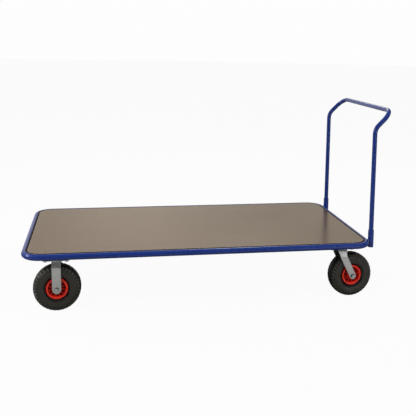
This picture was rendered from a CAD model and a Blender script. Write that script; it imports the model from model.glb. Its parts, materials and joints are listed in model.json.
"""Looks for the platform trolley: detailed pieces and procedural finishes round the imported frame.

Everything is in metres in the row frame: +X towards the push handle, +Y across, +Z up, floor at z = 0.
"""
import json
import math
import random

import bmesh
import bpy
from mathutils import Matrix, Vector, noise


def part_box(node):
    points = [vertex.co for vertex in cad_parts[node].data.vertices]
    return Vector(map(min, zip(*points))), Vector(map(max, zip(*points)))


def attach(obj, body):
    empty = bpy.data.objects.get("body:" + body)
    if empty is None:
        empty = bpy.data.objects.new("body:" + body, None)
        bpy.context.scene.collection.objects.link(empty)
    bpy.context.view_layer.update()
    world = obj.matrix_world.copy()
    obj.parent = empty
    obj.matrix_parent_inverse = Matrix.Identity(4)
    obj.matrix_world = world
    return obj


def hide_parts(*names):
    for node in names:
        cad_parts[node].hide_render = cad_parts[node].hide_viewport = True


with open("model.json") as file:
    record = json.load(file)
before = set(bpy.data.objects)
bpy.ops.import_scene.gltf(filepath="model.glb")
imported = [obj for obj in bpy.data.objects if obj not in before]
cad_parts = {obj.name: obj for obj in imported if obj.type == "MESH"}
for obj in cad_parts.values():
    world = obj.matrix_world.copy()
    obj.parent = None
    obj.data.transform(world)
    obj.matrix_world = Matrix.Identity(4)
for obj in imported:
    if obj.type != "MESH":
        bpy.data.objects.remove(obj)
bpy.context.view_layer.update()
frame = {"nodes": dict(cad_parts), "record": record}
NODES = frame["nodes"]
JOINTS = {j["name"]: j for j in frame["record"]["behaviour"]["joints"]}
CASTORS = ("fixed_front", "fixed_rear", "swivel_front", "swivel_rear")
scene = bpy.context.scene
random.seed(7)


def span(node):
    lo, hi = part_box(node)
    return lo, hi, (lo + hi) / 2


# ------------------------------------------------------------------ node-tree helpers
def new_material(name):
    made = bpy.data.materials.new(name)
    made.use_nodes = True
    tree = made.node_tree
    shader = tree.nodes["Principled BSDF"]
    return made, tree, shader


def link(tree, a, b):
    tree.links.new(a, b)


def coords(tree, scale=(1, 1, 1), rotation=(0, 0, 0)):
    tex = tree.nodes.new("ShaderNodeTexCoord")
    mapping = tree.nodes.new("ShaderNodeMapping")
    mapping.inputs["Scale"].default_value = scale
    mapping.inputs["Rotation"].default_value = rotation
    link(tree, tex.outputs["Object"], mapping.inputs["Vector"])
    return mapping.outputs["Vector"]


def noise_of(tree, vector, scale, detail=3.0, roughness=0.5, distortion=0.0):
    node = tree.nodes.new("ShaderNodeTexNoise")
    node.inputs["Scale"].default_value = scale
    node.inputs["Detail"].default_value = detail
    node.inputs["Roughness"].default_value = roughness
    node.inputs["Distortion"].default_value = distortion
    link(tree, vector, node.inputs["Vector"])
    return node.outputs["Fac"]


def voronoi_of(tree, vector, scale, feature="F1", output="Distance"):
    node = tree.nodes.new("ShaderNodeTexVoronoi")
    node.feature = feature
    node.inputs["Scale"].default_value = scale
    link(tree, vector, node.inputs["Vector"])
    return node.outputs[output]


def remap(tree, value, a, b, lo=0.0, hi=1.0, smooth=False):
    node = tree.nodes.new("ShaderNodeMapRange")
    node.interpolation_type = "SMOOTHSTEP" if smooth else "LINEAR"
    node.inputs["From Min"].default_value = a
    node.inputs["From Max"].default_value = b
    node.inputs["To Min"].default_value = lo
    node.inputs["To Max"].default_value = hi
    link(tree, value, node.inputs["Value"])
    return node.outputs["Result"]


def ramp(tree, value, stops):
    node = tree.nodes.new("ShaderNodeValToRGB")
    element = node.color_ramp.elements
    while len(element) < len(stops):
        element.new(0.5)
    for e, (pos, colour) in zip(element, stops):
        e.position = pos
        e.color = (*colour, 1.0)
    link(tree, value, node.inputs["Fac"])
    return node.outputs["Color"]


def mix(tree, factor, a, b, blend="MIX"):
    """a and b are colours or sockets; factor is a number or a socket."""
    node = tree.nodes.new("ShaderNodeMix")
    node.data_type = "RGBA"
    node.blend_type = blend
    for value, socket in ((factor, node.inputs[0]), (a, node.inputs[6]), (b, node.inputs[7])):
        if isinstance(value, (int, float)):
            socket.default_value = value
        elif isinstance(value, tuple):
            socket.default_value = (*value, 1.0)
        else:
            link(tree, value, socket)
    return node.outputs[2]


def maths(tree, op, a, b=None, clamp=False):
    node = tree.nodes.new("ShaderNodeMath")
    node.operation = op
    node.use_clamp = clamp
    for value, socket in ((a, node.inputs[0]), (b, node.inputs[1])):
        if value is None:
            continue
        if isinstance(value, (int, float)):
            socket.default_value = value
        else:
            link(tree, value, socket)
    return node.outputs[0]


def bump(tree, shader, height, strength, distance, normal=None):
    node = tree.nodes.new("ShaderNodeBump")
    node.inputs["Strength"].default_value = strength
    node.inputs["Distance"].default_value = distance
    link(tree, height, node.inputs["Height"])
    if normal is not None:
        link(tree, normal, node.inputs["Normal"])
    link(tree, node.outputs["Normal"], shader.inputs["Normal"])
    return node.outputs["Normal"]


def axis_of(tree, letter, source="Object"):
    tex = tree.nodes.new("ShaderNodeTexCoord")
    split = tree.nodes.new("ShaderNodeSeparateXYZ")
    link(tree, tex.outputs[source], split.inputs["Vector"])
    return split.outputs[letter]


# ------------------------------------------------------------------------ materials
def make_blue(name="blue_powder_coat", groove=None):
    """groove: (centre X, half X, half Y, corner radius) of the ring's centreline; its inner flank, next to the board, is grimy."""
    made, tree, shader = new_material(name)
    flat = coords(tree)
    cloudy = noise_of(tree, flat, 7.0, 4.0, 0.55)
    body = mix(tree, remap(tree, cloudy, 0.3, 0.7), (0.0070, 0.0310, 0.2080), (0.0094, 0.0360, 0.2340))
    # Fine dust in the coat, and a few dull rubbed places.
    specks = remap(tree, voronoi_of(tree, flat, 420.0), 0.045, 0.10, 1.0, 0.0)
    sparse = remap(tree, noise_of(tree, flat, 90.0, 2.0), 0.60, 0.68)
    body = mix(tree, maths(tree, "MULTIPLY", maths(tree, "MULTIPLY", specks, sparse), 0.25), body, (0.05, 0.08, 0.26))
    rubbed = remap(tree, noise_of(tree, coords(tree, (9, 9, 30)), 3.0, 6.0, 0.72), 0.60, 0.74, smooth=True)
    body = mix(tree, maths(tree, "MULTIPLY", rubbed, 0.08), body, (0.045, 0.065, 0.22))
    grime = 0.0
    if groove:
        cx, half_x, half_y, radius = groove
        reach = []
        for letter, middle, half in (("X", cx, half_x), ("Y", 0.0, half_y)):
            out = maths(tree, "SUBTRACT", maths(tree, "ABSOLUTE", maths(tree, "SUBTRACT", axis_of(tree, letter), middle)), half - radius)
            out = maths(tree, "MAXIMUM", out, 0.0)
            reach.append(maths(tree, "MULTIPLY", out, out))
        inward = maths(tree, "SUBTRACT", radius, maths(tree, "SQRT", maths(tree, "ADD", reach[0], reach[1])))
        inward = maths(tree, "ADD", inward, remap(tree, noise_of(tree, flat, 60.0, 3.0), 0.2, 0.8, -0.0006, 0.0006))
        grime = remap(tree, inward, 0.0030, 0.0058, smooth=True)
        body = mix(tree, maths(tree, "MULTIPLY", grime, 0.90), body, (0.006, 0.006, 0.008))
    link(tree, body, shader.inputs["Base Color"])
    rough = remap(tree, noise_of(tree, flat, 26.0, 4.0, 0.6), 0.25, 0.75, 0.24, 0.32)
    rough = maths(tree, "ADD", rough, maths(tree, "MULTIPLY", rubbed, 0.05))
    if groove:
        rough = maths(tree, "ADD", rough, maths(tree, "MULTIPLY", grime, 0.50), True)
    link(tree, rough, shader.inputs["Roughness"])
    shader.inputs["Specular IOR Level"].default_value = 0.46
    peel = noise_of(tree, flat, 520.0, 2.0, 0.5)
    wave = noise_of(tree, flat, 120.0, 2.0, 0.5)
    bump(tree, shader, maths(tree, "ADD", maths(tree, "MULTIPLY", peel, 0.6), wave), 0.022, 0.0004)
    return made


def make_board():
    """The film face of the deck: brown, faintly streaked along its length."""
    made, tree, shader = new_material("brown_film_board")
    streak = noise_of(tree, coords(tree, (1.6, 46, 1)), 1.6, 6.0, 0.62, 0.15)
    fine = noise_of(tree, coords(tree, (7, 330, 1)), 2.2, 4.0, 0.6)
    cloud = noise_of(tree, coords(tree, (1, 1.6, 1)), 2.4, 4.0, 0.55)
    colour = mix(tree, remap(tree, streak, 0.28, 0.72), (0.070, 0.041, 0.0150), (0.096, 0.057, 0.0215))
    colour = mix(tree, remap(tree, fine, 0.35, 0.70, 0.0, 0.45), colour, (0.055, 0.033, 0.0120))
    colour = mix(tree, remap(tree, cloud, 0.35, 0.68, 0.0, 0.40), colour, (0.096, 0.063, 0.0270))
    # Short scuffs left by loads, in two directions.
    scuffs = None
    for turn, size in ((0.35, (3.0, 210, 1)), (-0.9, (4.0, 260, 1))):
        lines = remap(tree, noise_of(tree, coords(tree, size, (0, 0, turn)), 1.0, 3.0, 0.5), 0.685, 0.72)
        where = remap(tree, noise_of(tree, coords(tree, (1, 1, 1), (0, 0, turn)), 5.0, 2.0), 0.56, 0.64)
        part = maths(tree, "MULTIPLY", lines, where)
        scuffs = part if scuffs is None else maths(tree, "ADD", scuffs, part, True)
    colour = mix(tree, maths(tree, "MULTIPLY", scuffs, 0.35), colour, (0.11, 0.09, 0.07))
    link(tree, colour, shader.inputs["Base Color"])
    rough = remap(tree, cloud, 0.3, 0.7, 0.17, 0.23)
    rough = maths(tree, "ADD", rough, remap(tree, fine, 0.3, 0.7, -0.02, 0.05))
    rough = maths(tree, "ADD", rough, maths(tree, "MULTIPLY", scuffs, 0.20))
    link(tree, rough, shader.inputs["Roughness"])
    shader.inputs["Specular IOR Level"].default_value = 0.70
    shader.inputs["Specular Tint"].default_value = (1.0, 0.78, 0.60, 1.0)
    grain = maths(tree, "ADD", maths(tree, "MULTIPLY", fine, 0.5), noise_of(tree, coords(tree, (1, 3, 1)), 600.0, 2.0))
    bump(tree, shader, grain, 0.10, 0.0003)
    return made


def make_board_edge():
    """The sealed saw-cut edge, with its veneers showing through the seal."""
    made, tree, shader = new_material("sealed_ply_edge")
    z = axis_of(tree, "Z")
    wander = noise_of(tree, coords(tree, (1, 1, 1)), 9.0, 3.0)
    ply = maths(tree, "MULTIPLY", maths(tree, "ADD", z, maths(tree, "MULTIPLY", wander, 0.0006)), 1.0 / 0.00215)
    band = maths(tree, "PINGPONG", ply, 1.0)
    fibre = noise_of(tree, coords(tree, (60, 60, 700)), 1.5, 4.0, 0.6)
    colour = mix(tree, remap(tree, band, 0.35, 0.65), (0.030, 0.021, 0.016), (0.016, 0.012, 0.010))
    colour = mix(tree, remap(tree, fibre, 0.4, 0.7, 0.0, 0.45), colour, (0.045, 0.032, 0.024))
    link(tree, colour, shader.inputs["Base Color"])
    link(tree, remap(tree, fibre, 0.3, 0.7, 0.46, 0.66), shader.inputs["Roughness"])
    bump(tree, shader, maths(tree, "ADD", band, fibre), 0.25, 0.0003)
    return made


def make_zinc():
    made, tree, shader = new_material("zinc_plate")
    flat = coords(tree)
    cells = voronoi_of(tree, flat, 260.0, output="Color")
    split = tree.nodes.new("ShaderNodeSeparateColor")
    link(tree, cells, split.inputs["Color"])
    mottle = noise_of(tree, flat, 70.0, 5.0, 0.65)
    cloud = noise_of(tree, flat, 14.0, 3.0)
    colour = mix(tree, remap(tree, mottle, 0.3, 0.7), (0.54, 0.545, 0.54), (0.66, 0.665, 0.66))
    colour = mix(tree, remap(tree, split.outputs["Red"], 0.0, 1.0, 0.0, 0.22), colour, (0.70, 0.71, 0.72))
    colour = mix(tree, remap(tree, cloud, 0.42, 0.72, 0.0, 0.30), colour, (0.55, 0.54, 0.50))
    link(tree, colour, shader.inputs["Base Color"])
    shader.inputs["Metallic"].default_value = 1.0
    drawn = noise_of(tree, coords(tree, (900, 900, 40)), 1.0, 3.0)
    rough = remap(tree, mottle, 0.25, 0.75, 0.30, 0.40)
    rough = maths(tree, "ADD", rough, remap(tree, drawn, 0.3, 0.7, -0.03, 0.05))
    link(tree, rough, shader.inputs["Roughness"])
    bump(tree, shader, maths(tree, "ADD", mottle, maths(tree, "MULTIPLY", drawn, 0.5)), 0.12, 0.0003)
    return made


def make_bright_zinc():
    """Bolts, nuts and washers: brighter, finer plating."""
    made, tree, shader = new_material("bright_zinc_fastener")
    flat = coords(tree)
    mottle = noise_of(tree, flat, 240.0, 4.0, 0.6)
    tint = noise_of(tree, flat, 45.0, 2.0)
    colour = mix(tree, remap(tree, mottle, 0.3, 0.7), (0.50, 0.51, 0.52), (0.64, 0.65, 0.65))
    colour = mix(tree, remap(tree, tint, 0.45, 0.7, 0.0, 0.35), colour, (0.60, 0.57, 0.46))
    link(tree, colour, shader.inputs["Base Color"])
    shader.inputs["Metallic"].default_value = 1.0
    link(tree, remap(tree, mottle, 0.3, 0.7, 0.26, 0.40), shader.inputs["Roughness"])
    bump(tree, shader, mottle, 0.10, 0.0002)
    return made


def make_rubber(name, low, high, dusty, dull=(0.36, 0.50)):
    made, tree, shader = new_material(name)
    flat = coords(tree)
    cloud = noise_of(tree, flat, 16.0, 4.0, 0.6)
    fine = noise_of(tree, flat, 900.0, 2.0)
    colour = mix(tree, remap(tree, cloud, 0.3, 0.7), low, high)
    dust = remap(tree, noise_of(tree, flat, 60.0, 5.0, 0.7), 0.55, 0.78)
    colour = mix(tree, maths(tree, "MULTIPLY", dust, 0.30), colour, dusty)
    link(tree, colour, shader.inputs["Base Color"])
    link(tree, remap(tree, cloud, 0.3, 0.7, *dull), shader.inputs["Roughness"])
    shader.inputs["Specular IOR Level"].default_value = 0.5
    bump(tree, shader, maths(tree, "ADD", fine, maths(tree, "MULTIPLY", cloud, 0.4)), 0.18, 0.0004)
    return made


def make_red(name, low, high):
    made, tree, shader = new_material(name)
    flat = coords(tree)
    flow = noise_of(tree, coords(tree, (1, 3, 1)), 30.0, 4.0, 0.6, 0.6)
    fine = noise_of(tree, flat, 700.0, 2.0)
    colour = mix(tree, remap(tree, flow, 0.3, 0.7), low, high)
    grime = remap(tree, noise_of(tree, flat, 120.0, 4.0, 0.65), 0.58, 0.80)
    colour = mix(tree, maths(tree, "MULTIPLY", grime, 0.22), colour, (0.20, 0.020, 0.012))
    link(tree, colour, shader.inputs["Base Color"])
    link(tree, remap(tree, flow, 0.3, 0.7, 0.28, 0.40), shader.inputs["Roughness"])
    bump(tree, shader, maths(tree, "ADD", fine, flow), 0.10, 0.0003)
    return made


def make_plain(name, a, b, low, high, scale, metallic=0.0, depth=0.0003, strength=0.15):
    made, tree, shader = new_material(name)
    value = noise_of(tree, coords(tree), scale, 4.0, 0.6)
    link(tree, mix(tree, remap(tree, value, 0.3, 0.7), a, b), shader.inputs["Base Color"])
    link(tree, remap(tree, value, 0.3, 0.7, low, high), shader.inputs["Roughness"])
    shader.inputs["Metallic"].default_value = metallic
    bump(tree, shader, value, strength, depth)
    return made


BLUE = make_blue()
BOARD = make_board()
EDGE = make_board_edge()
ARRIS = make_plain("worn_board_arris", (0.30, 0.25, 0.20), (0.44, 0.37, 0.30), 0.42, 0.6, 160.0)
OILED = make_plain("oiled_washer", (0.060, 0.060, 0.062), (0.110, 0.108, 0.104), 0.34, 0.50, 300.0, 1.0)
ZINC = make_zinc()
BRIGHT = make_bright_zinc()
RUBBER = make_rubber("tyre_rubber", (0.0212, 0.0206, 0.0152), (0.0322, 0.0313, 0.0236), (0.060, 0.056, 0.048))
GROOVE = make_rubber("tyre_rubber_groove", (0.0060, 0.0060, 0.0052), (0.0100, 0.0098, 0.0084), (0.020, 0.018, 0.014))
WORN = make_rubber("tyre_rubber_worn", (0.0500, 0.0475, 0.0380), (0.0780, 0.0735, 0.0590), (0.120, 0.108, 0.086))
BEAD = make_rubber("tyre_rubber_bead", (0.0050, 0.0050, 0.0044), (0.0090, 0.0088, 0.0076), (0.018, 0.017, 0.014), (0.20, 0.30))
TREAD = make_rubber("tyre_rubber_tread", (0.0115, 0.0111, 0.0088), (0.0180, 0.0173, 0.0138), (0.040, 0.036, 0.030))
RED = make_red("red_rim_plastic", (0.800, 0.021, 0.007), (0.920, 0.030, 0.010))
RED_DEEP = make_red("red_rim_pockets", (0.130, 0.004, 0.003), (0.190, 0.006, 0.004))
WELD = make_plain("ground_weld_bead", (0.105, 0.112, 0.170), (0.165, 0.170, 0.225), 0.30, 0.46, 240.0)
NYLON = make_plain("bush_nylon", (0.50, 0.49, 0.44), (0.62, 0.61, 0.56), 0.38, 0.5, 300.0)
LOCK = make_plain("nut_insert_nylon", (0.05, 0.12, 0.34), (0.07, 0.16, 0.42), 0.4, 0.5, 500.0)
SEAL = make_plain("race_seal", (0.018, 0.018, 0.018), (0.032, 0.031, 0.030), 0.55, 0.7, 400.0)
BRASS = make_plain("valve_brass", (0.55, 0.36, 0.12), (0.66, 0.46, 0.18), 0.28, 0.4, 500.0, 1.0)
PLUG = make_plain("black_plug", (0.012, 0.012, 0.013), (0.022, 0.022, 0.022), 0.4, 0.55, 500.0)


# --------------------------------------------------------------------- mesh helpers
def even_shading(obj):
    """Lets the large faces rule the shading normals, so that flats stay flat beside their eased edges."""
    made = obj.modifiers.new("even_shading", "WEIGHTED_NORMAL")
    made.mode = "FACE_AREA"
    made.weight = 50
    made.keep_sharp = True


def piece(name, bm, mats, body, replaces=(), angle=40, matrix=None, even=False):
    """Turns a bmesh into a finished piece riding on a body."""
    if matrix is not None:
        bmesh.ops.transform(bm, matrix=matrix, verts=bm.verts)
    bmesh.ops.recalc_face_normals(bm, faces=bm.faces)
    mesh = bpy.data.meshes.new(name)
    bm.to_mesh(mesh)
    bm.free()
    for mat in mats if isinstance(mats, (list, tuple)) else [mats]:
        mesh.materials.append(mat)
    mesh.shade_smooth()
    mesh.set_sharp_from_angle(angle=math.radians(angle))
    obj = bpy.data.objects.new(name, mesh)
    scene.collection.objects.link(obj)
    if even:
        even_shading(obj)
    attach(obj, body)
    if replaces:
        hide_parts(*replaces)
    return obj


def loft(bm, loops, closed=False, caps=True, material=0):
    rows = [[bm.verts.new(p) for p in loop] for loop in loops]
    pairs = list(zip(rows, rows[1:]))
    if closed:
        pairs.append((rows[-1], rows[0]))
    for a, b in pairs:
        n = len(a)
        for i in range(n):
            j = (i + 1) % n
            face = bm.faces.new((a[i], a[j], b[j], b[i]))
            face.material_index = material
    if caps and not closed:
        for row in (rows[0], rows[-1]):
            bm.faces.new(row).material_index = material
    return rows


def circle(r, n, phase=0.0):
    return [(r * math.cos(phase + 2 * math.pi * k / n), r * math.sin(phase + 2 * math.pi * k / n)) for k in range(n)]


def lathe(bm, profile, n, matrix=None, material=0):
    """A closed outline of (radius, height) turned about local Z."""
    start = len(bm.verts)
    loops = []
    for k in range(n):
        a = 2 * math.pi * k / n
        loops.append([(r * math.cos(a), r * math.sin(a), h) for r, h in profile])
    loft(bm, loops, closed=True, material=material)
    if matrix is not None:
        bm.verts.ensure_lookup_table()
        bmesh.ops.transform(bm, matrix=matrix, verts=bm.verts[start:])


def solid_lathe(bm, profile, n, matrix=None, material=0):
    """An outline of (radius, height) from bottom to top, capped at both ends."""
    start = len(bm.verts)
    loft(bm, [[(x, y, h) for x, y in circle(r, n)] for r, h in profile], material=material)
    if matrix is not None:
        bm.verts.ensure_lookup_table()
        bmesh.ops.transform(bm, matrix=matrix, verts=bm.verts[start:])


def rounded_profile(points, radii, segs=3):
    """A closed 2-D outline whose corners are rounded by the given radii."""
    out = []
    n = len(points)
    for i, p in enumerate(points):
        p = Vector(p)
        a, b = Vector(points[i - 1]) - p, Vector(points[(i + 1) % n]) - p
        r = radii[i] if isinstance(radii, (list, tuple)) else radii
        if r <= 0:
            out.append((p.x, p.y))
            continue
        half = a.angle(b) / 2
        reach = min(r / math.tan(half), a.length * 0.49, b.length * 0.49)
        r = reach * math.tan(half)
        a.normalize()
        b.normalize()
        centre = p + (a + b).normalized() * r / math.sin(half)
        s, e = p + a * reach - centre, p + b * reach - centre
        for k in range(segs + 1):
            t = k / segs
            d = (s * (1 - t) + e * t).normalized() * r
            out.append((centre.x + d.x, centre.y + d.y))
    return out


def rounded_rectangle(hx, hy, r, segs):
    pts = []
    for cx, cy, start in ((hx - r, hy - r, 0), (r - hx, hy - r, 90), (r - hx, r - hy, 180), (hx - r, r - hy, 270)):
        for k in range(segs + 1):
            a = math.radians(start + 90 * k / segs)
            pts.append((cx + r * math.cos(a), cy + r * math.sin(a)))
    return pts


def fillet_path(corners, radii, segs):
    out = [(corners[0], (corners[1] - corners[0]).normalized())]
    for i in range(1, len(corners) - 1):
        a = (corners[i - 1] - corners[i]).normalized()
        b = (corners[i + 1] - corners[i]).normalized()
        half = a.angle(b) / 2
        reach = radii[i] / math.tan(half)
        centre = corners[i] + (a + b).normalized() * radii[i] / math.sin(half)
        p0 = corners[i] + a * reach
        spin = math.pi - 2 * half
        axis = (-a).cross(b).normalized()
        for k in range(segs + 1):
            turn = Matrix.Rotation(spin * k / segs, 3, axis)
            out.append((centre + turn @ (p0 - centre), turn @ (-a)))
    out.append((corners[-1], (corners[-1] - corners[-2]).normalized()))
    return out


def tube_rings(stations, radius, n):
    """Circles carried along the stations without twisting; radius may be a function of the index."""
    side = Vector((0, 0, 1)) if abs(stations[0][1].z) < 0.5 else Vector((1, 0, 0))
    rings = []
    before = stations[0][1]
    for k, (point, tangent) in enumerate(stations):
        side = before.rotation_difference(tangent) @ side
        side = (side - tangent * side.dot(tangent)).normalized()
        before = tangent
        up = tangent.cross(side)
        r = radius(k) if callable(radius) else radius
        rings.append([point + side * cx + up * cy for cx, cy in circle(r, n)])
    return rings


def densify(stations, step):
    """Adds stations along straight runs, so that long faces stay well shaped."""
    out = [stations[0]]
    for (p, t), (q, u) in zip(stations, stations[1:]):
        gap = (q - p).length
        if gap > step and t.angle(u) < 0.02:
            count = int(gap / step)
            for k in range(1, count + 1):
                out.append((p.lerp(q, k / (count + 1)), t))
        out.append((q, u))
    return out


def weld_bead(bm, points, r, closed=False, ripple=0.0021, seed=0):
    """A rippled fillet of weld along a line of points."""
    dense = []
    total = 0.0
    pts = [Vector(p) for p in points]
    if closed:
        pts.append(pts[0])
    for a, b in zip(pts, pts[1:]):
        count = max(1, int((b - a).length / (ripple / 3)))
        for k in range(count):
            dense.append((a.lerp(b, k / count), total + (b - a).length * k / count))
        total += (b - a).length
    if not closed:
        dense.append((pts[-1], total))
    stations = []
    n = len(dense)
    for i, (p, s) in enumerate(dense):
        before = dense[(i - 1) % n][0] if closed or i else p
        after = dense[(i + 1) % n][0] if closed or i < n - 1 else p
        stations.append((p, (after - before).normalized()))

    def size(k):
        s = dense[k][1]
        swell = 1.0 + 0.10 * math.cos(2 * math.pi * s / ripple) + 0.16 * noise.noise(Vector((s * 60, seed, 0)))
        if not closed:
            end = min(s, total - s) / (1.6 * r)
            swell *= math.sqrt(max(0.06, min(1.0, end)))
        return r * swell

    rings = tube_rings(stations, size, 10)
    if closed:
        loft(bm, rings, closed=True)
    else:
        loft(bm, rings)


def hexagon(across, phase=0.0):
    return circle(across / 2 / math.cos(math.pi / 6), 6, phase)


def hex_prism(bm, across, z0, z1, chamfer_top=True, chamfer_bottom=False, hole=0.0, phase=0.0, matrix=None, material=0):
    """A hexagon head or nut along local Z with the 30 degree corner chamfers of a real one."""
    n = 36
    corner = across / 2 / math.cos(math.pi / 6)
    rings = []

    def ring(z, drop):
        # drop: how far this level lies below the end face; the chamfer cone cuts the corners there.
        out = []
        for k in range(n):
            a = phase + 2 * math.pi * k / n
            local = (2 * math.pi * k / n + math.pi / 6) % (math.pi / 3) - math.pi / 6
            flat_r = across / 2 / math.cos(local)
            cone_r = across / 2 * 0.985 + drop / math.tan(math.radians(30))
            out.append((min(flat_r, cone_r) * math.cos(a), min(flat_r, cone_r) * math.sin(a), z))
        return out

    depth = (corner - across / 2 * 0.985) * math.tan(math.radians(30)) * 1.02
    levels = []
    if chamfer_bottom:
        levels += [(z0, 0.0), (z0 + depth * 0.35, depth * 0.35), (z0 + depth * 0.7, depth * 0.7), (z0 + depth, depth)]
    else:
        levels += [(z0, 1.0)]
    if chamfer_top:
        levels += [(z1 - depth, depth), (z1 - depth * 0.7, depth * 0.7), (z1 - depth * 0.35, depth * 0.35), (z1, 0.0)]
    else:
        levels += [(z1, 1.0)]
    start = len(bm.verts)
    loops = [ring(z, d) for z, d in levels]
    if hole:
        inner_hi = [(x * hole, y * hole, z1) for x, y in circle(1.0, n, phase)]
        inner_lo = [(x * hole, y * hole, z0) for x, y in circle(1.0, n, phase)]
        loft(bm, loops + [inner_hi, inner_lo], closed=True, material=material)
    else:
        # A slightly dished head top, as forged bolts have.
        r = across / 2 * 0.985
        loops += [[(x, y, z1 - 0.00015) for x, y in circle(r * 0.72, n, phase)],
                  [(x, y, z1 - 0.0004) for x, y in circle(r * 0.66, n, phase)]]
        loft(bm, loops, material=material)
    if matrix is not None:
        bm.verts.ensure_lookup_table()
        bmesh.ops.transform(bm, matrix=matrix, verts=bm.verts[start:])


def washer(bm, r_in, r_out, z0, z1, matrix=None, n=40, material=0):
    e = min(0.0004, (z1 - z0) * 0.3)
    lathe(bm, rounded_profile([(r_in, z0), (r_out, z0), (r_out, z1), (r_in, z1)], e, 2), n, matrix, material)


def threaded(bm, r, z0, z1, pitch, matrix=None, n=32, material=0):
    """A round thread run-out: crest and root rings, with a chamfered tip at z1."""
    depth = pitch * 0.42
    profile = [(r - depth, z0)]
    count = max(1, int((z1 - z0 - pitch) / pitch))
    for k in range(count):
        base = z0 + k * pitch
        profile += [(r - depth, base + pitch * 0.05), (r, base + pitch * 0.42), (r, base + pitch * 0.58), (r - depth, base + pitch * 0.95)]
    profile += [(r - depth * 0.6, z1 - pitch * 0.5), (r - depth * 1.7, z1)]
    profile = [(a, b if b > z0 or i == 0 else z0 + 1e-5) for i, (a, b) in enumerate(profile)]
    solid_lathe(bm, profile, n, matrix, material)


def frame_z_to(axis, origin):
    """Local Z along axis, at origin."""
    return Matrix.Translation(origin) @ Vector((0, 0, 1)).rotation_difference(Vector(axis)).to_matrix().to_4x4()


# ------------------------------------------------------------------------ the frame
lo, hi, mid = span("frame_ring_tube")
TUBE_R = (hi.z - lo.z) / 2
TUBE_Z = mid.z
CORNER_R = 0.092
CX = mid.x
HX = (hi.x - lo.x) / 2 - TUBE_R
HY = (hi.y - lo.y) / 2 - TUBE_R


def ring_stations(segs):
    out = []
    for cx, cy, start in ((HX - CORNER_R, HY - CORNER_R, 0), (CORNER_R - HX, HY - CORNER_R, 90),
                          (CORNER_R - HX, CORNER_R - HY, 180), (HX - CORNER_R, CORNER_R - HY, 270)):
        for k in range(segs + 1):
            a = math.radians(start + 90 * k / segs)
            out.append((Vector((CX + cx + CORNER_R * math.cos(a), cy + CORNER_R * math.sin(a), TUBE_Z)),
                        Vector((-math.sin(a), math.cos(a), 0))))
    return out


bm = bmesh.new()
stations = ring_stations(20)
stations.append(stations[0])
stations = densify(stations, 0.06)[:-1]
loft(bm, tube_rings(stations, TUBE_R, 48), closed=True)
RING_BLUE = make_blue("blue_powder_coat_ring", (CX, HX, HY, CORNER_R))
piece("frame_ring", bm, RING_BLUE, "frame", ["frame_ring_tube"], 60)

# The ground butt weld that closes the ring, in the middle of the far side.
bm = bmesh.new()
seam = [Vector((CX + 0.11, HY + TUBE_R * math.cos(a) * (0.985 - 0.055 * max(math.cos(a), 0.0) ** 2), TUBE_Z + TUBE_R * math.sin(a) * 0.985))
        for a in [2 * math.pi * k / 40 for k in range(40)]]
weld_bead(bm, seam, 0.0009, closed=True, seed=3)
piece("ring_butt_weld", bm, BLUE, "frame", angle=80)

# Deck board: film on both faces, veneers on the edge, edges eased.
lo, hi, mid = span("deck_board")
DECK_TOP = hi.z
hx, hy = (hi.x - lo.x) / 2 + 0.0024, (hi.y - lo.y) / 2 + 0.0018
bm = bmesh.new()
ease = 0.0014
sections = []
corner = 0.075
for inset, z in [(0.009, lo.z), (ease + 0.0006, lo.z), (ease, lo.z)] + [(ease * (1 - math.sin(t)), lo.z + ease * (1 - math.cos(t))) for t in (math.pi / 6, math.pi / 3, math.pi / 2)] + \
        [(ease * (1 - math.cos(t)), hi.z - ease * (1 - math.sin(t))) for t in (0.0, math.pi / 8, math.pi / 4, 3 * math.pi / 8, math.pi / 2)] + [(ease + 0.0006, hi.z), (0.009, hi.z)]:
    sections.append([(mid.x + x, y, z) for x, y in rounded_rectangle(hx - inset, hy - inset, corner - inset, 18)])
rows = loft(bm, sections)
for face in bm.faces:
    face.normal_update()
    level = abs(face.normal.z)
    face.material_index = 0 if level > 0.995 else 2 if level > 0.35 else 1
piece("deck_panel", bm, [BOARD, EDGE, ARRIS], "frame", ["deck_board"], 30)


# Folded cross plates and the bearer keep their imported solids, with eased edges.
def ease_edges(obj, width, segments=2, angle=35):
    made = obj.modifiers.new("eased_edges", "BEVEL")
    made.width = width
    made.segments = segments
    made.limit_method = "ANGLE"
    made.angle_limit = math.radians(angle)
    even_shading(obj)


def repaint(node, mat, slot=None):
    obj = NODES[node]
    obj.data.materials.clear()
    obj.data.materials.append(mat)


for node in ("cross_channel_fixed_end", "cross_channel_swivel_end", "deck_bearer_middle"):
    repaint(node, ZINC if node == "cross_channel_fixed_end" else BLUE)
    ease_edges(NODES[node], 0.0009)

bm = bmesh.new()
for node in ("cross_channel_fixed_end", "cross_channel_swivel_end", "deck_bearer_middle"):
    lo, hi, mid = span(node)
    for side in (-1, 1):
        y = side * (HY - TUBE_R + 0.0006)
        z = TUBE_Z - TUBE_R * 0.42
        for k, x in enumerate((lo.x, hi.x)):
            out = -0.0008 if k == 0 else 0.0008
            if node == "cross_channel_swivel_end" and k == 1:
                y = side * (HY - TUBE_R)
            weld_bead(bm, [(x + out, y - side * 0.0005, TUBE_Z + 0.0012), (x + out, y - side * 0.0005, z + 0.004),
                           (x + out, y, z)], 0.0022, seed=k + 5)
        if node == "cross_channel_fixed_end":
            weld_bead(bm, [(lo.x + 0.012, side * (HY + 0.0020), TUBE_Z - TUBE_R - 0.0008),
                           (hi.x - 0.012, side * (HY + 0.0020), TUBE_Z - TUBE_R - 0.0008)], 0.0019, seed=11)
piece("cross_member_welds", bm, BLUE, "frame", angle=80)

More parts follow.
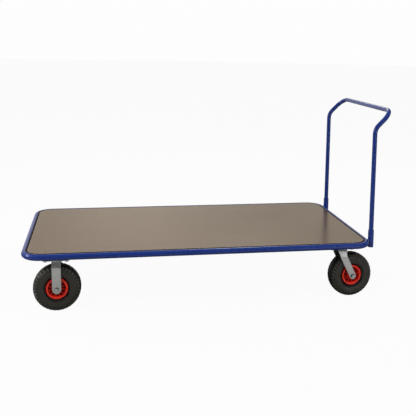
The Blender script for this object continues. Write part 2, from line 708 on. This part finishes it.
# Sockets for the handle.
for name in ("front", "rear"):
    node = "handle_socket_" + name
    lo, hi, mid = span(node)
    ro = (hi.y - lo.y) / 2
    ri = ro - 0.0029
    bm = bmesh.new()
    outline = rounded_profile([(0.0040, lo.z), (ro, lo.z), (ro, hi.z), (ri, hi.z), (ri, lo.z + 0.004), (0.0040, lo.z + 0.004)],
                              [0.0004, 0.0011, 0.0010, 0.0006, 0, 0.0004], 4)
    lathe(bm, outline, 64, Matrix.Translation((mid.x, mid.y, 0)))
    piece(f"handle_socket_{name}_tube", bm, BLUE, "frame", [node], 40)
    # Fillet weld round the line where socket and ring touch.
    bm = bmesh.new()
    contact = CX + HX + TUBE_R
    loop = []
    for k in range(64):
        a = 2 * math.pi * k / 64
        loop.append((contact - 0.0002, mid.y + 0.0098 * math.cos(a), TUBE_Z + 0.0108 * math.sin(a)))
    weld_bead(bm, loop, 0.0031, closed=True, ripple=0.0030, seed=21)
    piece(f"handle_socket_{name}_weld", bm, WELD, "frame", angle=80)

# ----------------------------------------------------------------------- the handle
lo, hi, mid = span("push_handle_tube")
HANDLE_R = 0.0269 / 2
post_x = lo.x + HANDLE_R
bar_x = hi.x - HANDLE_R
half = (hi.y - lo.y) / 2 - HANDLE_R
top_z = hi.z - HANDLE_R
bend_z = top_z - (bar_x - post_x)  * math.cos(math.radians(44.8)) / math.sin(math.radians(44.8))
corners = [Vector(p) for p in ((post_x, -half, lo.z), (post_x, -half, bend_z), (bar_x, -half, top_z),
                               (bar_x, half, top_z), (post_x, half, bend_z), (post_x, half, lo.z))]
route = densify(fillet_path(corners, [0, 0.075, 0.075, 0.075, 0.075, 0], 20), 0.05)
bm = bmesh.new()
loft(bm, tube_rings(route, HANDLE_R, 40))
piece("push_handle", bm, BLUE, "push_handle", ["push_handle_tube"], 50)

# Drain plugs under the ring.
bm = bmesh.new()
for side in (-1, 1):
    solid_lathe(bm, [(0.0030, 0.004), (0.0030, 0.0002), (0.0052, 0.0001), (0.0050, -0.0006), (0.0036, -0.0009), (0.0012, -0.0010)], 24,
                Matrix.Translation((CX + 0.40, side * HY, TUBE_Z - TUBE_R)))
piece("ring_drain_plugs", bm, PLUG, "frame", angle=40)


# ---------------------------------------------------------------------- castor parts
def plate_with_holes(name, x0, x1, y0, y1, z0, z1, r, holes, mat, body, replaces):
    """A plate with rounded corners and round holes, edges eased."""
    e = 0.0008
    curve = bpy.data.curves.new(name, "CURVE")
    curve.dimensions = "2D"
    curve.fill_mode = "BOTH"
    cx, cy = (x0 + x1) / 2, (y0 + y1) / 2
    outlines = [[(cx + x, cy + y) for x, y in rounded_rectangle((x1 - x0) / 2 - e, (y1 - y0) / 2 - e, r - e, 8)]]
    for hx, hy, hr in holes:
        outlines.append([(hx + x, hy + y) for x, y in circle(hr + e, 28)])
    for pts in outlines:
        spline = curve.splines.new("POLY")
        spline.points.add(len(pts) - 1)
        for point, (x, y) in zip(spline.points, pts):
            point.co = (x, y, 0, 1)
        spline.use_cyclic_u = True
    curve.extrude = (z1 - z0) / 2 - e
    curve.bevel_depth = e
    curve.bevel_resolution = 2
    temp = bpy.data.objects.new(name + "_temp", curve)
    scene.collection.objects.link(temp)
    bpy.context.view_layer.update()
    mesh = bpy.data.meshes.new_from_object(temp.evaluated_get(bpy.context.evaluated_depsgraph_get()))
    bpy.data.objects.remove(temp)
    bm = bmesh.new()
    bm.from_mesh(mesh)
    bpy.data.meshes.remove(mesh)
    for face in bm.faces:
        face.material_index = 0
    bmesh.ops.remove_doubles(bm, verts=bm.verts, dist=0.00002)
    bmesh.ops.translate(bm, verts=bm.verts, vec=(0, 0, (z0 + z1) / 2))
    return piece(name, bm, mat, body, replaces, 35, even=True)


def plate_bolt(prefix, index):
    node = f"{prefix}_plate_bolt_{index}"
    lo, hi, mid = span(node)
    bm = bmesh.new()
    at = Matrix.Translation((mid.x, mid.y, 0))
    plate_lo, _, _ = span(prefix + "_top_plate")
    seat = plate_lo.z - 0.0002
    turn = math.radians(17 * index)
    washer(bm, 0.0052, 0.0100, seat - 0.0016, seat, at)
    hex_prism(bm, 0.0165, -seat + 0.0016, -lo.z, True, False, 0.0, turn, at @ Matrix.Rotation(math.pi, 4, "X"))
    head_top = hi.z - 0.008
    solid_lathe(bm, [(0.0048, seat - 0.0016), (0.0048, head_top + 0.002)], 24, at)
    washer(bm, 0.0052, 0.0100, head_top, head_top + 0.0014, at)
    hex_prism(bm, 0.0165, head_top + 0.0014, hi.z - 0.0006, True, False, 0.0, turn + 0.4, at)
    piece(f"{prefix}_flange_bolt_{index}", bm, BRIGHT, "frame", [node], 32, even=True)


def strap_sections(path, thickness, edge):
    """path: (point (y, z), normal (y, z), x centre, half width, slope shift). Cross-sections of a rounded strip."""
    loops = []
    for (y, z), (ny, nz), xa, za, xb, zb, t in path:
        a, b = Vector((xa, y, z + za)), Vector((xb, y, z + zb))
        along = (b - a)
        width = along.length
        along.normalize()
        n = Vector((0, ny, nz))
        e = min(edge, width * 0.45, t * 0.49)
        hw, ht = width / 2, t / 2
        centre = (a + b) / 2
        loop = []
        for cx, cy, start in ((hw - e, ht - e, 0), (e - hw, ht - e, 90), (e - hw, e - ht, 180), (hw - e, e - ht, 270)):
            for k in range(5):
                ang = math.radians(start + 90 * k / 4)
                loop.append(centre + along * (cx + e * math.cos(ang)) + n * (cy + e * math.sin(ang)))
        # Extra points across the two faces keep the strip from folding badly at the bends.
        loops.append(loop)
    return loops


def fork_piece(prefix, body, matrix, top_z, axle_x, axle_z, y_leg, t, half_top, bend_z, bend_shift, strap_w, top_w, disc_r):
    """One bent strap in the castor's own frame: X back, Y across, kingpin or plate centre at X = 0."""
    z_top = top_z - t / 2
    bend_r = 0.013
    fall = math.atan2(axle_x - bend_shift, bend_z - axle_z)
    narrow = strap_w / 2 / math.cos(fall)
    pts = [Vector((0, z_top)), Vector((half_top, z_top)), Vector((y_leg, bend_z)), Vector((y_leg, 0.0))]
    half = []
    for k in range(7):                                   # across the head
        half.append((Vector((half_top * 0.70 * k / 6, z_top)), Vector((0, 1))))
    for i in (1, 2):
        a = (pts[i - 1] - pts[i]).normalized()
        b = (pts[i + 1] - pts[i]).normalized()
        ang = a.angle(b)
        r = bend_r if i == 1 else 0.020
        reach = min(r / math.tan(ang / 2), (pts[2] - pts[1]).length * 0.48)
        r = reach * math.tan(ang / 2)
        centre = pts[i] + (a + b).normalized() * r / math.sin(ang / 2)
        p0, p1 = pts[i] + a * reach, pts[i] + b * reach
        start = math.atan2(*(p0 - centre).yx)
        end = math.atan2(*(p1 - centre).yx)
        sweep = (end - start + math.pi) % (2 * math.pi) - math.pi
        convex = 1.0 if i == 1 else (1.0 if (p0 - centre).x > 0 else -1.0)
        for k in range(9):
            s = start + sweep * k / 8
            d = Vector((math.cos(s), math.sin(s)))
            half.append((centre + d * r, d * convex))
    right = []
    for p, n in half:
        down = min(max((top_z - t - p.y) / (top_z - t - bend_z), 0.0), 1.0)
        ease_in = down * down * (3 - 2 * down)
        shift = bend_shift * down + max(bend_z - p.y, 0.0) * math.tan(fall)
        wide = top_w / 2 + (narrow - top_w / 2) * ease_in
        if disc_r and abs(p.x) < disc_r:
            wide = max(wide, math.sqrt(max(disc_r ** 2 - p.x ** 2, 0.0)))
        right.append(((p.x, p.y), (n.x, n.y), shift - wide, 0.0, shift + wide, 0.0, t))
    along = Vector((math.sin(fall), -math.cos(fall)))
    across = Vector((math.cos(fall), math.sin(fall)))
    axle = Vector((axle_x, axle_z))
    # Square stations down the leg, then the round end about the axle.
    first = Vector((bend_shift + 0.012 * math.tan(fall), bend_z - 0.012))
    leg = []
    for k in range(10):
        s = k / 10
        leg.append((first.lerp(axle, 0.12 + 0.88 * s), 1.0, t))
    for k in range(13):
        a = math.radians(87 * k / 12)
        slim = t if k < 11 else t * (0.82 if k == 11 else 0.55)
        leg.append((axle + along * (strap_w / 2) * math.sin(a), math.cos(a), slim))
    for centre, share, thick in leg:
        w = across * (strap_w / 2) * share
        right.append(((y_leg, 0.0), (1.0, 0.0), (centre - w).x, (centre - w).y, (centre + w).x, (centre + w).y, thick))
    left = [((-p[0], p[1]), (-n[0], n[1]), xa, za, xb, zb, thick) for (p, n, xa, za, xb, zb, thick) in right]
    both = list(reversed(left)) + right[1:]
    bm = bmesh.new()
    loft(bm, strap_sections(both, t, 0.0014))
    return piece(prefix + "_strap_fork", bm, ZINC, body, [prefix + "_fork"], 45, matrix, True)


def axle_set(prefix, body, centre, axis, leg_face, side):
    """Bolt head and washer outside, lock nut and washer inside, sleeve between the legs."""
    out = frame_z_to(axis * side, centre)
    back = frame_z_to(axis * -side, centre)
    bm = bmesh.new()
    washer(bm, 0.0064, 0.0118, leg_face + 0.0001, leg_face + 0.0019, out, material=1)
    hex_prism(bm, 0.0185, leg_face + 0.0019, leg_face + 0.0076, True, False, 0.0, 0.55, out)
    solid_lathe(bm, [(0.0059, -leg_face - 0.004), (0.0059, leg_face + 0.002)], 28, out)
    threaded(bm, 0.0060, leg_face + 0.004, leg_face + 0.0140, 0.00175, back)
    piece(prefix + "_axle_screw", bm, [BRIGHT, OILED], body, [prefix + "_axle_bolt"], 32, even=True)
    bm = bmesh.new()
    washer(bm, 0.0066, 0.0118, leg_face + 0.0001, leg_face + 0.0018, back)
    hex_prism(bm, 0.0185, leg_face + 0.0018, leg_face + 0.0082, True, True, 0.0064, 0.2, back)
    lathe(bm, rounded_profile([(0.0078, leg_face + 0.0082), (0.0086, leg_face + 0.0082), (0.0084, leg_face + 0.0106), (0.0072, leg_face + 0.0106)],
                              0.0004, 2), 36, back)
    lathe(bm, [(0.0063, leg_face + 0.0070), (0.0077, leg_face + 0.0070), (0.0077, leg_face + 0.0100), (0.0063, leg_face + 0.0100)], 36, back, material=1)
    piece(prefix + "_axle_lock_nut", bm, [BRIGHT, LOCK], body, [prefix + "_axle_nut"], 32, even=True)
    lo, hi, mid = span(prefix + "_axle_sleeve")
    s = leg_face - 0.005 - 0.0003
    bm = bmesh.new()
    lathe(bm, rounded_profile([(0.0065, -s), (0.0100, -s), (0.0100, s), (0.0065, s)], 0.0004, 2), 40, out)
    piece(prefix + "_spacer_tube", bm, ZINC, body, [prefix + "_axle_sleeve"], 35)


TYRE_POINTS = [(53.0, 21.5), (54.0, 26.2), (58.6, 27.6), (60.6, 28.4), (62.8, 30.2), (65.0, 32.6), (67.2, 34.8), (69.6, 36.2),
               (71.2, 37.0), (71.9, 38.0), (73.4, 38.3), (74.3, 37.9), (76.5, 38.8), (80.0, 40.2), (85.0, 41.4), (90.0, 41.9),
               (95.0, 42.0), (99.2, 41.8), (100.0, 42.3), (101.2, 42.2), (102.0, 41.4), (104.6, 40.9), (107.0, 40.3)]


def tyre_mesh(bm, matrix):
    """Carcass, bead, sidewall rings and a block tread, as one skin closed through the rim side."""
    pitches = 36
    phases = (0.0, 0.115, 0.165, 0.225, 0.335, 0.385, 0.50, 0.615, 0.665, 0.725, 0.835, 0.885)
    # Shoulder and crown rows: (radius of the block top, half width, zone)
    tread = [(108.6, 39.9, "edge"), (109.6, 40.0, "lug"), (112.4, 39.1, "lug"), (115.8, 37.2, "lug"), (119.2, 34.6, "lug"), (122.6, 31.2, "lug"),
             (125.4, 27.4, "lug"), (127.3, 23.6, "lug"), (128.6, 19.4, "lug"), (129.2, 16.2, "lug"), (129.35, 15.2, "wall"),
             (129.4, 14.2, "floor"), (129.5, 11.8, "floor"), (129.65, 10.8, "wall"), (129.75, 9.6, "rib"), (129.9, 6.2, "rib"), (130.0, 3.0, "rib")]
    centre = [(130.0, 0.0, "rib")]
    left = [(r, -h, z) for r, h, z in [(a, b, "side") for a, b in TYRE_POINTS] + tread]
    right = [(r, h, z) for r, h, z in reversed([(a, b, "side") for a, b in TYRE_POINTS] + tread)]
    rows = left + centre + right
    depth = 3.3

    def smooth(v):
        v = min(max(v, 0.0), 1.0)
        return v * v * (3 - 2 * v)

    start = len(bm.verts)
    columns = []
    for p in range(pitches):
        for ph in phases:
            theta = 2 * math.pi * (p + ph) / pitches
            column = []
            for r, h, zone in rows:
                side_phase = ph if h < 0 else (ph + 0.5) % 1.0
                near = min(side_phase, 1.0 - side_phase)       # distance to this side's cross groove
                groove = 1.0 - smooth((near - 0.125) / 0.09)
                dr, dh = 0.0, 0.0
                if zone == "edge":
                    dr, dh = 0.0, 0.0
                elif zone == "lug":
                    rise, fall = smooth((r - 109.0) / 5.0), smooth((r - 116.5) / 9.0)
                    cutting = groove * 4.4 * (0.12 + 0.88 * rise) * (1.0 - 0.78 * fall)
                    # Along the local normal, which leans outwards on the shoulder.
                    lean = min(1.0, max(0.0, (abs(h) - 14.0) / 28.0))
                    dr, dh = -cutting * (1 - 0.55 * lean), -math.copysign(cutting * lean * 0.85, h)
                    if r < 110.0:
                        dh += math.copysign(0.9 * (1 - groove), h)
                elif zone == "wall":
                    dr = -0.5
                elif zone == "floor":
                    dr = -depth
                elif zone == "rib":
                    cross = min(abs((ph + 0.25) % 1.0 - 0.5), 1.0)
                    sipe = 1.0 - smooth((abs(abs(h) - 12.0) - 2.0) / 3.0)
                    dr = -groove * 1.8 * smooth((abs(h) - 4.0) / 5.0)
                sway = 0.0
                if zone in ("wall", "floor", "rib") and h:
                    wave = abs(((ph + (0.5 if h > 0 else 0.0)) % 1.0) - 0.5) * 4 - 1
                    sway = math.copysign(1.0, h) * wave * 0.9 * smooth((abs(h) - 3.0) / 8.0)
                rr, hh = (r + dr) / 1000, (h + dh + sway) / 1000
                hh = max(-0.0424, min(0.0424, hh))
                column.append((rr * math.cos(theta), rr * math.sin(theta), hh))
            columns.append(column)
    loft(bm, columns, closed=True)
    bm.verts.ensure_lookup_table()
    # Clean rubber down in the grooves, scuffed rubber on the faces of the blocks.
    for face in bm.faces:
        at = face.calc_center_median()
        reach = math.hypot(at.x, at.y)
        if reach < 0.0730:
            face.material_index = 3
            continue
        if reach < 0.1118:
            continue
        share = math.atan2(at.y, at.x) / (2 * math.pi) * pitches + (0.0 if at.z < 0 else 0.5)
        near = min(share % 1.0, 1.0 - share % 1.0)
        face.material_index = 1 if near < 0.175 and abs(at.z) > 0.0105 else 2 if reach < 0.1210 else 4
    bmesh.ops.transform(bm, matrix=matrix, verts=bm.verts[start:])


def rib_solid(bm, r0, r1, ang, half_t0, half_t1, z_lo, z0, z1, matrix):
    """A radial rib standing on the web from z_lo, its top running from z0 at the hub to z1 at the ring."""
    c, s = math.cos(ang), math.sin(ang)
    draft = 0.0005
    e = 0.0005

    def at(r, w, z):
        return (r * c - w * s, r * s + w * c, z)

    loops = []
    for r, h, z in ((r0, half_t0, z0), ((r0 + r1) / 2, (half_t0 + half_t1) / 2, (z0 + z1) / 2), (r1, half_t1, z1)):
        top = math.copysign(1.0, z - z_lo)
        loops.append([at(r, -h - draft, z_lo), at(r, h + draft, z_lo), at(r, h, z - top * e), at(r, h - e * 0.7, z), at(r, e * 0.7 - h, z), at(r, -h, z - top * e)])
    start = len(bm.verts)
    loft(bm, loops)
    bm.verts.ensure_lookup_table()
    bmesh.ops.transform(bm, matrix=matrix, verts=bm.verts[start:])


def rim_mesh(bm, matrix):
    """Moulded rim: lipped ring, thin web, hub barrel with collar, and twelve ribs on each side."""
    # Ring with drum and flanges.
    outline = [(0.0478, -0.0335), (0.0590, -0.0345), (0.0592, -0.0300), (0.0575, -0.0283), (0.0512, -0.0265), (0.0508, -0.0080),
               (0.0508, 0.0080), (0.0512, 0.0265), (0.0575, 0.0283), (0.0592, 0.0300), (0.0590, 0.0345), (0.0478, 0.0335), (0.0470, 0.0)]
    radii = [0.0012, 0.0010, 0.0006, 0.0010, 0.0010, 0, 0, 0.0010, 0.0010, 0.0006, 0.0010, 0.0012, 0]
    lathe(bm, rounded_profile(outline, radii, 4), 96, matrix)
    lathe(bm, rounded_profile([(0.0190, -0.0032), (0.0474, -0.0026), (0.0474, 0.0026), (0.0190, 0.0032)], 0.0006, 2), 96, matrix, 1)
    hub = [(0.0139, -0.0355), (0.0192, -0.0355), (0.0212, -0.0315), (0.0222, 0.0), (0.0212, 0.0315), (0.0192, 0.0355), (0.0139, 0.0355)]
    lathe(bm, rounded_profile(hub, [0.0005, 0.0010, 0.0015, 0.01, 0.0015, 0.0010, 0.0005], 3), 64, matrix)
    for k in range(12):
        for side in (-1, 1):
            rib_solid(bm, 0.0205, 0.0486, 2 * math.pi * (k + 0.5 * (side > 0)) / 12 + 0.13, 0.0015, 0.0012, side * 0.0020, side * 0.0262, side * 0.0276, matrix)


def wheel(prefix, body, centre, axis, side):
    """side: which way along the axis is the outside of the trolley."""
    at = frame_z_to(axis * side, centre)
    turn = Matrix.Rotation(0.35 if "swivel" in prefix else -0.1, 4, "Z")
    bm = bmesh.new()
    tyre_mesh(bm, at @ turn)
    piece(prefix + "_tread_tyre", bm, [RUBBER, GROOVE, WORN, BEAD, TREAD], body, [prefix + "_tyre"], 38)
    bm = bmesh.new()
    rim_mesh(bm, at @ turn)
    piece(prefix + "_ribbed_rim", bm, [RED, RED_DEEP], body, [prefix + "_rim"], 38, even=True)
    lo, hi, mid = span(prefix + "_hub_bush")
    s = 0.0370
    bm = bmesh.new()
    lathe(bm, rounded_profile([(0.0103, -s), (0.0135, -s), (0.0135, s), (0.0103, s)], 0.0004, 2), 48, at)
    piece(prefix + "_flanged_bush", bm, NYLON, body, [prefix + "_hub_bush"], 35)
    # Valve: rubber stem through the web, brass end, black cap, in a pocket between two ribs.
    up = (at.inverted().to_3x3() @ Vector((0, 0, 1))).normalized()
    away = math.atan2(up.y, up.x) + math.radians(4)
    seat = at @ Matrix.Rotation(away, 4, "Z") @ Matrix.Translation((0.0345, 0, 0.0015))
    bm = bmesh.new()
    solid_lathe(bm, [(0.0060, 0.0), (0.0058, 0.0020), (0.0042, 0.0034), (0.0038, 0.0135), (0.0033, 0.0150)], 24, seat)
    solid_lathe(bm, [(0.0026, 0.0150), (0.0026, 0.0162)], 20, seat, material=1)
    ribs = []
    for z, grow in ((0.0160, 0.0), (0.0168, 0.0003), (0.0232, 0.0003), (0.0240, -0.0004), (0.0244, -0.0014)):
        ribs.append([((0.0040 + grow + (0.00022 if k % 2 else 0)) * math.cos(2 * math.pi * k / 32),
                      (0.0040 + grow + (0.00022 if k % 2 else 0)) * math.sin(2 * math.pi * k / 32), z) for k in range(32)])
    first = len(bm.verts)
    loft(bm, ribs, material=2)
    bm.verts.ensure_lookup_table()
    bmesh.ops.transform(bm, matrix=seat, verts=bm.verts[first:])
    piece(prefix + "_valve", bm, [SEAL, BRASS, PLUG], body, angle=40)


def ball_race(prefix, centre, top_z, body_fork):
    """Upper pressed cup on the plate, dark seal, lower cup on the fork."""
    lo, hi, mid = span(prefix + "_ball_race")
    h = hi.z - lo.z
    at = Matrix.Translation((centre.x, centre.y, lo.z))
    bm = bmesh.new()
    lathe(bm, rounded_profile([(0.0085, h * 0.50), (0.0372, h * 0.50), (0.0390, h * 0.36), (0.0399, h * 0.40), (0.0399, h * 0.90), (0.0385, h * 0.999), (0.0085, h * 0.999)],
                              [0, 0.0004, 0.0003, 0.0003, 0.0008, 0.0006, 0], 3), 72, at)
    piece(prefix + "_upper_cup", bm, ZINC, "frame", [prefix + "_ball_race"], 38)
    bm = bmesh.new()
    lathe(bm, rounded_profile([(0.0085, h * 0.14), (0.0370, h * 0.14), (0.0374, h * 0.48), (0.0085, h * 0.48)], 0.0003, 2), 72, at)
    piece(prefix + "_race_seal", bm, SEAL, "frame", angle=38)
    bm = bmesh.new()
    lathe(bm, rounded_profile([(0.0090, -0.0002), (0.0386, -0.0002), (0.0392, h * 0.10), (0.0386, h * 0.13), (0.0090, h * 0.13)], 0.0003, 2), 72, at)
    piece(prefix + "_lower_cup", bm, ZINC, body_fork, angle=38)


for prefix in CASTORS:
    swivels = prefix.startswith("swivel")
    side = -1 if prefix.endswith("front") else 1
    plate_lo, plate_hi, plate_mid = span(prefix + "_top_plate")
    holes = []
    for i in (1, 2, 3, 4):
        _, _, m = span(f"{prefix}_plate_bolt_{i}")
        holes.append((m.x, m.y, 0.0056))
    if swivels:
        holes.append((plate_mid.x, plate_mid.y, 0.0079))
    plate_with_holes(prefix + "_mounting_plate", plate_lo.x, plate_hi.x, plate_lo.y, plate_hi.y, plate_lo.z, plate_hi.z, 0.012, holes,
                     ZINC, "frame", [prefix + "_top_plate"])
    for i in (1, 2, 3, 4):
        plate_bolt(prefix, i)
    spin = JOINTS[prefix + "_wheel_spin"]
    centre, axis = Vector(spin["pos_m"]), Vector(spin["axis"]).normalized()
    wheel_body = prefix + "_wheel"
    _, fork_hi, _ = span(prefix + "_fork")
    pivot = Vector((plate_mid.x, plate_mid.y, 0.0))
    if swivels:
        fork_body = prefix + "_fork_body"
        pin = JOINTS[prefix + "_turn"]["pos_m"]
        pivot = Vector((pin[0], pin[1], 0.0))
        heading = math.atan2(centre.y - pivot.y, centre.x - pivot.x)
        at = Matrix.Translation(pivot) @ Matrix.Rotation(heading, 4, "Z")
        trail = (centre - pivot).xy.length
        fork_piece(prefix, fork_body, at, fork_hi.z, trail, centre.z, 0.0485, 0.005, 0.036, 0.250, 0.0030, 0.0400, 0.0560, 0.0376)
        ball_race(prefix, pivot, plate_lo.z, fork_body)
        # Kingpin with its nut and washer under the fork's head.
        lo, hi, mid = span(prefix + "_kingpin")
        bm = bmesh.new()
        under = fork_hi.z - 0.005 - 0.0003
        down = Matrix.Translation((pivot.x, pivot.y, 0)) @ Matrix.Rotation(math.pi, 4, "X")
        solid_lathe(bm, [(0.0074, lo.z + 0.006), (0.0074, hi.z)], 32, Matrix.Translation((pivot.x, pivot.y, 0)))
        washer(bm, 0.0077, 0.0135, -under, -under + 0.0016, down)
        hex_prism(bm, 0.0235, -under + 0.0016, -under + 0.0084, True, True, 0.0, 0.3, down)
        threaded(bm, 0.0068, -under + 0.0080, -lo.z, 0.0012, down)
        piece(prefix + "_kingpin_and_nut", bm, BRIGHT, "frame", [prefix + "_kingpin"], 32)
    else:
        fork_body = "frame"
        at = Matrix.Translation(pivot)
        fork_piece(prefix, fork_body, at, fork_hi.z, centre.x - pivot.x, centre.z, 0.0485, 0.005, 0.036, 0.251, 0.0010, 0.0490, 0.0490, 0.0)
        # Fillet welds of the fork's head to its plate.
        bm = bmesh.new()
        lo, hi, mid = span(prefix + "_fork")
        for k, sx in enumerate((-1, 1)):
            weld_bead(bm, [(pivot.x + sx * 0.0250, pivot.y - 0.030, fork_hi.z - 0.0010), (pivot.x + sx * 0.0250, pivot.y + 0.030, fork_hi.z - 0.0010)], 0.0021, seed=31 + k)
        piece(prefix + "_head_welds", bm, ZINC, "frame", angle=80)
    axle_set(prefix, fork_body, centre, axis, 0.0510, side)
    wheel(prefix, wheel_body, centre, axis, side)

# ----------------------------------------------------------------- floor and lights
def floor_disc(name, z, bands, glow, far_glow):
    """A big disc. bands: (Y in metres, grey); far_glow: how brightly the sweep behind shines."""
    bm = bmesh.new()
    bmesh.ops.create_circle(bm, cap_ends=True, radius=40.0, segments=96)
    mesh = bpy.data.meshes.new(name)
    bm.to_mesh(mesh)
    bm.free()
    disc = bpy.data.objects.new(name, mesh)
    scene.collection.objects.link(disc)
    disc.location.z = z
    made, tree, shader = new_material(name + "_paint")
    shader.inputs["Roughness"].default_value = 0.9
    shader.inputs["Specular IOR Level"].default_value = 0.0
    shader.inputs["Emission Color"].default_value = (1.0, 1.0, 1.0, 1.0)
    shader.inputs["Emission Strength"].default_value = glow
    along = axis_of(tree, "Y")
    value = remap(tree, noise_of(tree, coords(tree), 3.0, 3.0), 0.0, 1.0, -0.004, 0.004)
    place = maths(tree, "ADD", remap(tree, along, -4.0, 4.0), value, True)
    link(tree, ramp(tree, place, [((y + 4.0) / 8.0, (g, g * 0.99, g * 0.965)) for y, g in bands]), shader.inputs["Base Color"])
    if far_glow:
        link(tree, remap(tree, along, 2.2, 3.4, 0.0, far_glow, True), shader.inputs["Emission Strength"])
    mesh.materials.append(made)
    return disc


# The pale floor that is seen, lit like a light table, and the matt one that light bounces from.
seen_floor = floor_disc("studio_floor", -0.0002, [(-4.0, 0.030), (4.0, 0.031)], 0.95, 0.0)
seen_floor.visible_diffuse = False
seen_floor.visible_glossy = False
seen_floor.visible_transmission = False
seen_floor.visible_shadow = False
bounce_floor = floor_disc("bounce_floor", -0.0004, [(-4.0, 0.10), (-2.6, 0.12), (-1.8, 0.57), (-1.0, 0.59), (-0.7, 0.36), (-0.4, 0.24), (0.4, 0.24), (4.0, 0.26)], 0.0, 1.0)
bounce_floor.visible_camera = False

world = bpy.data.worlds.new("studio")
world.use_nodes = True
scene.world = world
tree = world.node_tree
background = tree.nodes["Background"]
output = tree.nodes["World Output"]
tex = tree.nodes.new("ShaderNodeTexCoord")
split = tree.nodes.new("ShaderNodeSeparateXYZ")
link(tree, tex.outputs["Generated"], split.inputs["Vector"])
# A warm backdrop that brightens with height, a dim photographer's side, an even ceiling.
behind = ramp(tree, split.outputs["Z"], [(0.0, (0.98, 0.96, 0.93)), (0.12, (0.98, 0.96, 0.93)), (0.19, (0.66, 0.60, 0.54)), (0.255, (0.61, 0.55, 0.48)), (0.32, (1.16, 1.06, 0.95)),
                                         (0.42, (0.90, 0.85, 0.80)), (0.60, (0.42, 0.42, 0.42)), (1.0, (0.27, 0.27, 0.27))])
before = ramp(tree, split.outputs["Z"], [(0.0, (0.10, 0.10, 0.10)), (0.45, (0.12, 0.12, 0.12)), (0.72, (0.22, 0.22, 0.22)), (1.0, (0.27, 0.27, 0.27))])
side = remap(tree, split.outputs["Y"], -0.25, 0.55, 0.0, 1.0, True)
falling = ramp(tree, remap(tree, split.outputs["X"], -1.0, 1.0), [(0.0, (0.25,) * 3), (0.12, (0.30,) * 3), (0.24, (0.82,) * 3), (0.44, (0.74,) * 3), (0.465, (0.80,) * 3),
                                                                 (0.50, (0.99,) * 3), (0.54, (1.03,) * 3), (0.57, (0.86,) * 3), (0.60, (0.75,) * 3),
                                                                 (0.65, (0.71,) * 3), (0.75, (0.72,) * 3), (0.85, (0.35,) * 3), (1.0, (0.30,) * 3)])
link(tree, mix(tree, 1.0, mix(tree, side, before, behind), falling, "MULTIPLY"), background.inputs["Color"])
background.inputs["Strength"].default_value = 1.25
seen = tree.nodes.new("ShaderNodeBackground")
seen.inputs["Color"].default_value = (0.985, 0.985, 0.985, 1.0)
seen.inputs["Strength"].default_value = 1.0
path = tree.nodes.new("ShaderNodeLightPath")
chooser = tree.nodes.new("ShaderNodeMixShader")
link(tree, path.outputs["Is Camera Ray"], chooser.inputs["Fac"])
link(tree, background.outputs["Background"], chooser.inputs[1])
link(tree, seen.outputs["Background"], chooser.inputs[2])
link(tree, chooser.outputs["Shader"], output.inputs["Surface"])


def area_light(name, location, target, size, power, size_y=None):
    data = bpy.data.lights.new(name, "AREA")
    data.shape = "RECTANGLE" if size_y else "SQUARE"
    data.size = size
    if size_y:
        data.size_y = size_y
    data.energy = power
    obj = bpy.data.objects.new(name, data)
    scene.collection.objects.link(obj)
    obj.location = location
    obj.rotation_euler = (Vector(target) - Vector(location)).to_track_quat("-Z", "Y").to_euler()
    return obj


for name, x in (("fill_left", -4.2), ("fill_right", 4.2)):
    area_light(name, (x, -2.9, 4.2), (0, 0, 0.3), 3.0, 150).visible_glossy = False
area_light("softbox_left", (-4.2, 0.6, 3.0), (0, 0, 0.3), 1.0, 45)
area_light("window_left", (-4.6, -0.5, 2.0), (0, 0, 0.4), 0.9, 45)
area_light("panel_fork", (2.98, -4.1, 1.69), (0.87, -0.4, 0.25), 0.5, 4.5)
area_light("panel_right", (2.8, -4.9, 0.42), (0.4, 0, 0.32), 2.0, 17, 0.4)
area_light("softbox_behind", (1.2, 3.9, 3.7), (0.3, 0, 0.3), 1.0, 40)

# ----------------------------------------------------------------------- the camera
camera_data = bpy.data.cameras.new("camera")
camera = bpy.data.objects.new("camera", camera_data)
scene.collection.objects.link(camera)
camera.matrix_world = Matrix(((0.9858731, -0.0011819, -0.1674902, -0.6489870),
                              (-0.1665643, 0.0983137, -0.9811171, -4.0297361),
                              (0.0176262, 0.9951548, 0.0967280, 1.4990809),
                              (0.0, 0.0, 0.0, 1.0)))
camera_data.sensor_width = 36.0
camera_data.lens = 57.2543
camera_data.shift_x = -0.0078755
camera_data.shift_y = -0.2519069
camera_data.clip_end = 200.0
camera_data.dof.use_dof = False
scene.camera = camera
scene.view_settings.view_transform = "Standard"
scene.view_settings.look = "None"
scene.view_settings.exposure = 0.0
scene.view_settings.gamma = 1.0
